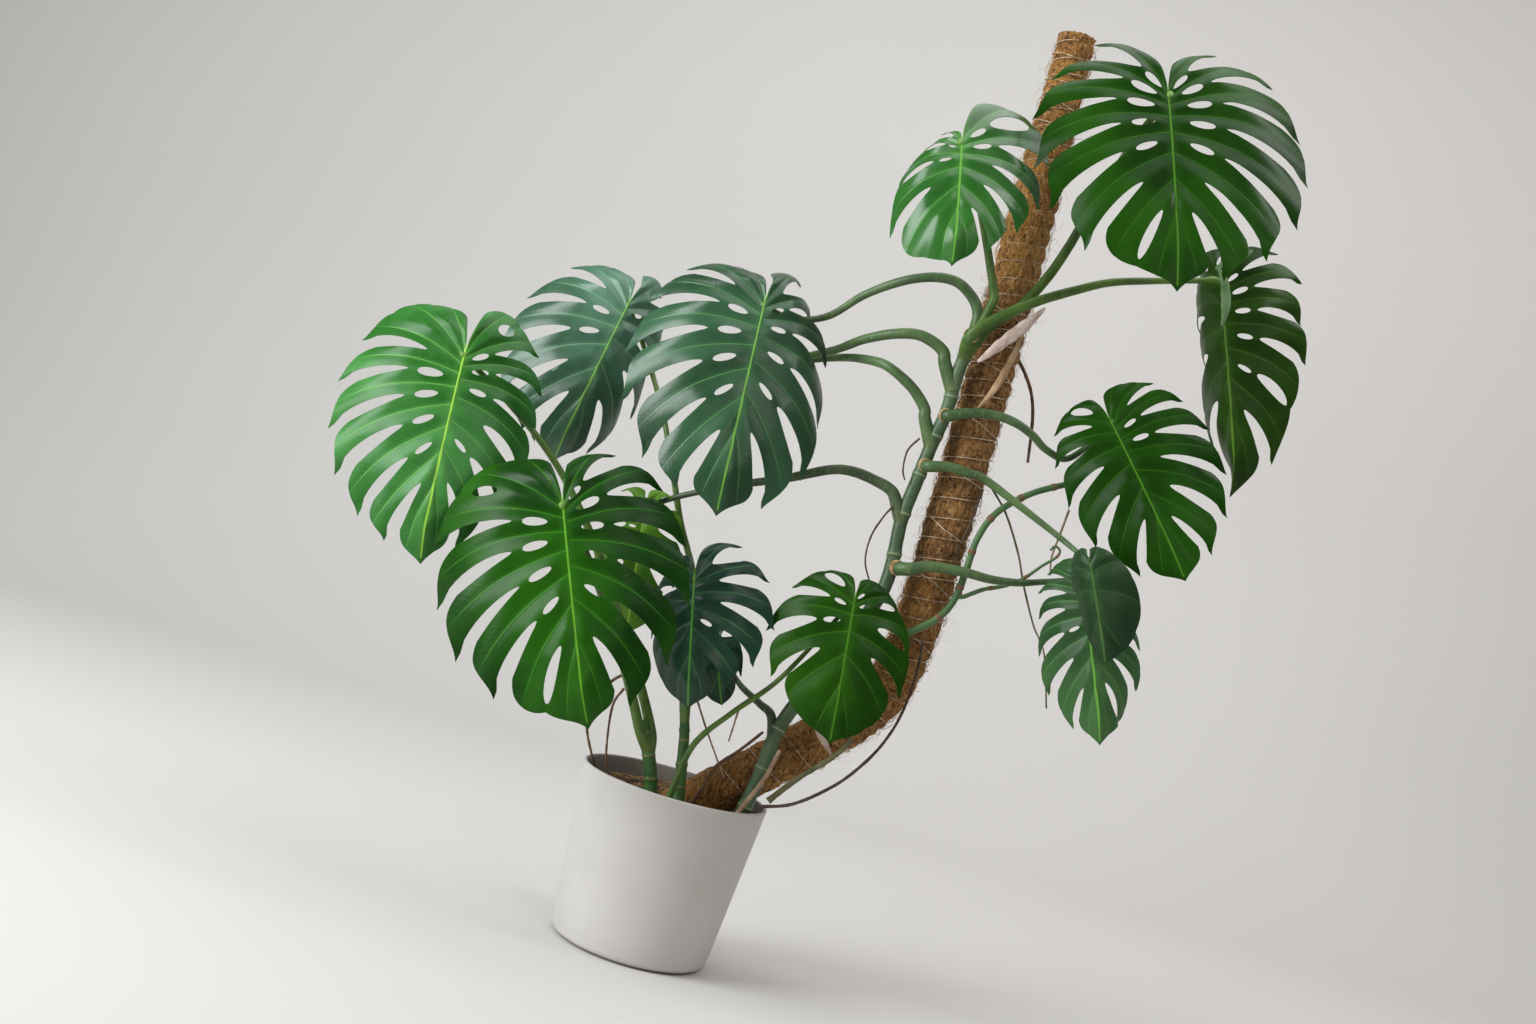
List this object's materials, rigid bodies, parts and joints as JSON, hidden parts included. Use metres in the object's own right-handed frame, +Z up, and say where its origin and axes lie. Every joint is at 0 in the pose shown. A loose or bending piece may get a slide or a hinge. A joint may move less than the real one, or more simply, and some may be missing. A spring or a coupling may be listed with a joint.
{
  "type": "potted monstera plant",
  "caption": "Large split-leaf monstera in a plain tapered pot, climbing a coir pole that leans out of the soil and then stands upright, with arching leaf stalks and aerial roots.",
  "frame": {"origin": "centre of the pot's flat underside", "axes": "+Z up along the pot's axis, the pole leans out towards +X, the leaves face -Y"},
  "size_m": [1.3508, 0.4375, 1.5028],
  "materials": {
    "ceramic": "satin",
    "soil": "matte",
    "coir": "matte",
    "wood": "matte",
    "twine": "matte",
    "leaf_bright": "satin",
    "leaf_deep": "satin",
    "stem": "satin",
    "petiole": "satin",
    "root": "matte",
    "sheath": "matte"
  },
  "bodies": {
    "root": {"pot": "ceramic", "soil": "soil", "pole_coir": "coir", "pole_stake": "wood", "pole_twine": "twine", "stem_main": "stem", "stem_left": "stem", "stem_centre": "stem", "side_shoot": "stem", "shoot_branch": "stem", "cut_petiole_upper": "stem", "cut_petiole_lower": "stem", "root_loop": "root", "root_thick": "root", "root_pale": "root", "root_arch": "root", "root_rim_back": "root", "root_rim_front": "root", "root_hanging": "root", "root_long": "root", "root_stem_low": "root", "root_stem_high": "root", "root_on_pole": "root", "twig_left": "root", "twig_middle": "root", "twig_right": "root", "sheath_top": "sheath", "sheath_tail": "sheath", "sheath_low": "sheath", "leaf_01": "leaf_bright", "leaf_02": "leaf_deep", "leaf_03": "leaf_deep", "leaf_04": "leaf_bright", "leaf_05": "leaf_deep", "leaf_06": "leaf_bright", "leaf_07": "leaf_bright", "leaf_08": "leaf_deep", "leaf_09": "leaf_deep", "leaf_10": "leaf_bright", "leaf_11": "leaf_deep", "leaf_12": "leaf_deep", "leaf_13": "leaf_bright", "leaf_14": "leaf_deep", "petiole_01": "petiole", "petiole_02": "petiole", "petiole_03": "petiole", "petiole_04": "petiole", "petiole_05": "petiole", "petiole_06": "petiole", "petiole_07": "petiole", "petiole_08": "petiole", "petiole_09": "petiole", "petiole_10": "petiole", "petiole_11": "petiole", "petiole_12": "petiole", "petiole_13": "petiole", "petiole_14": "petiole"}
  },
  "joints": []
}
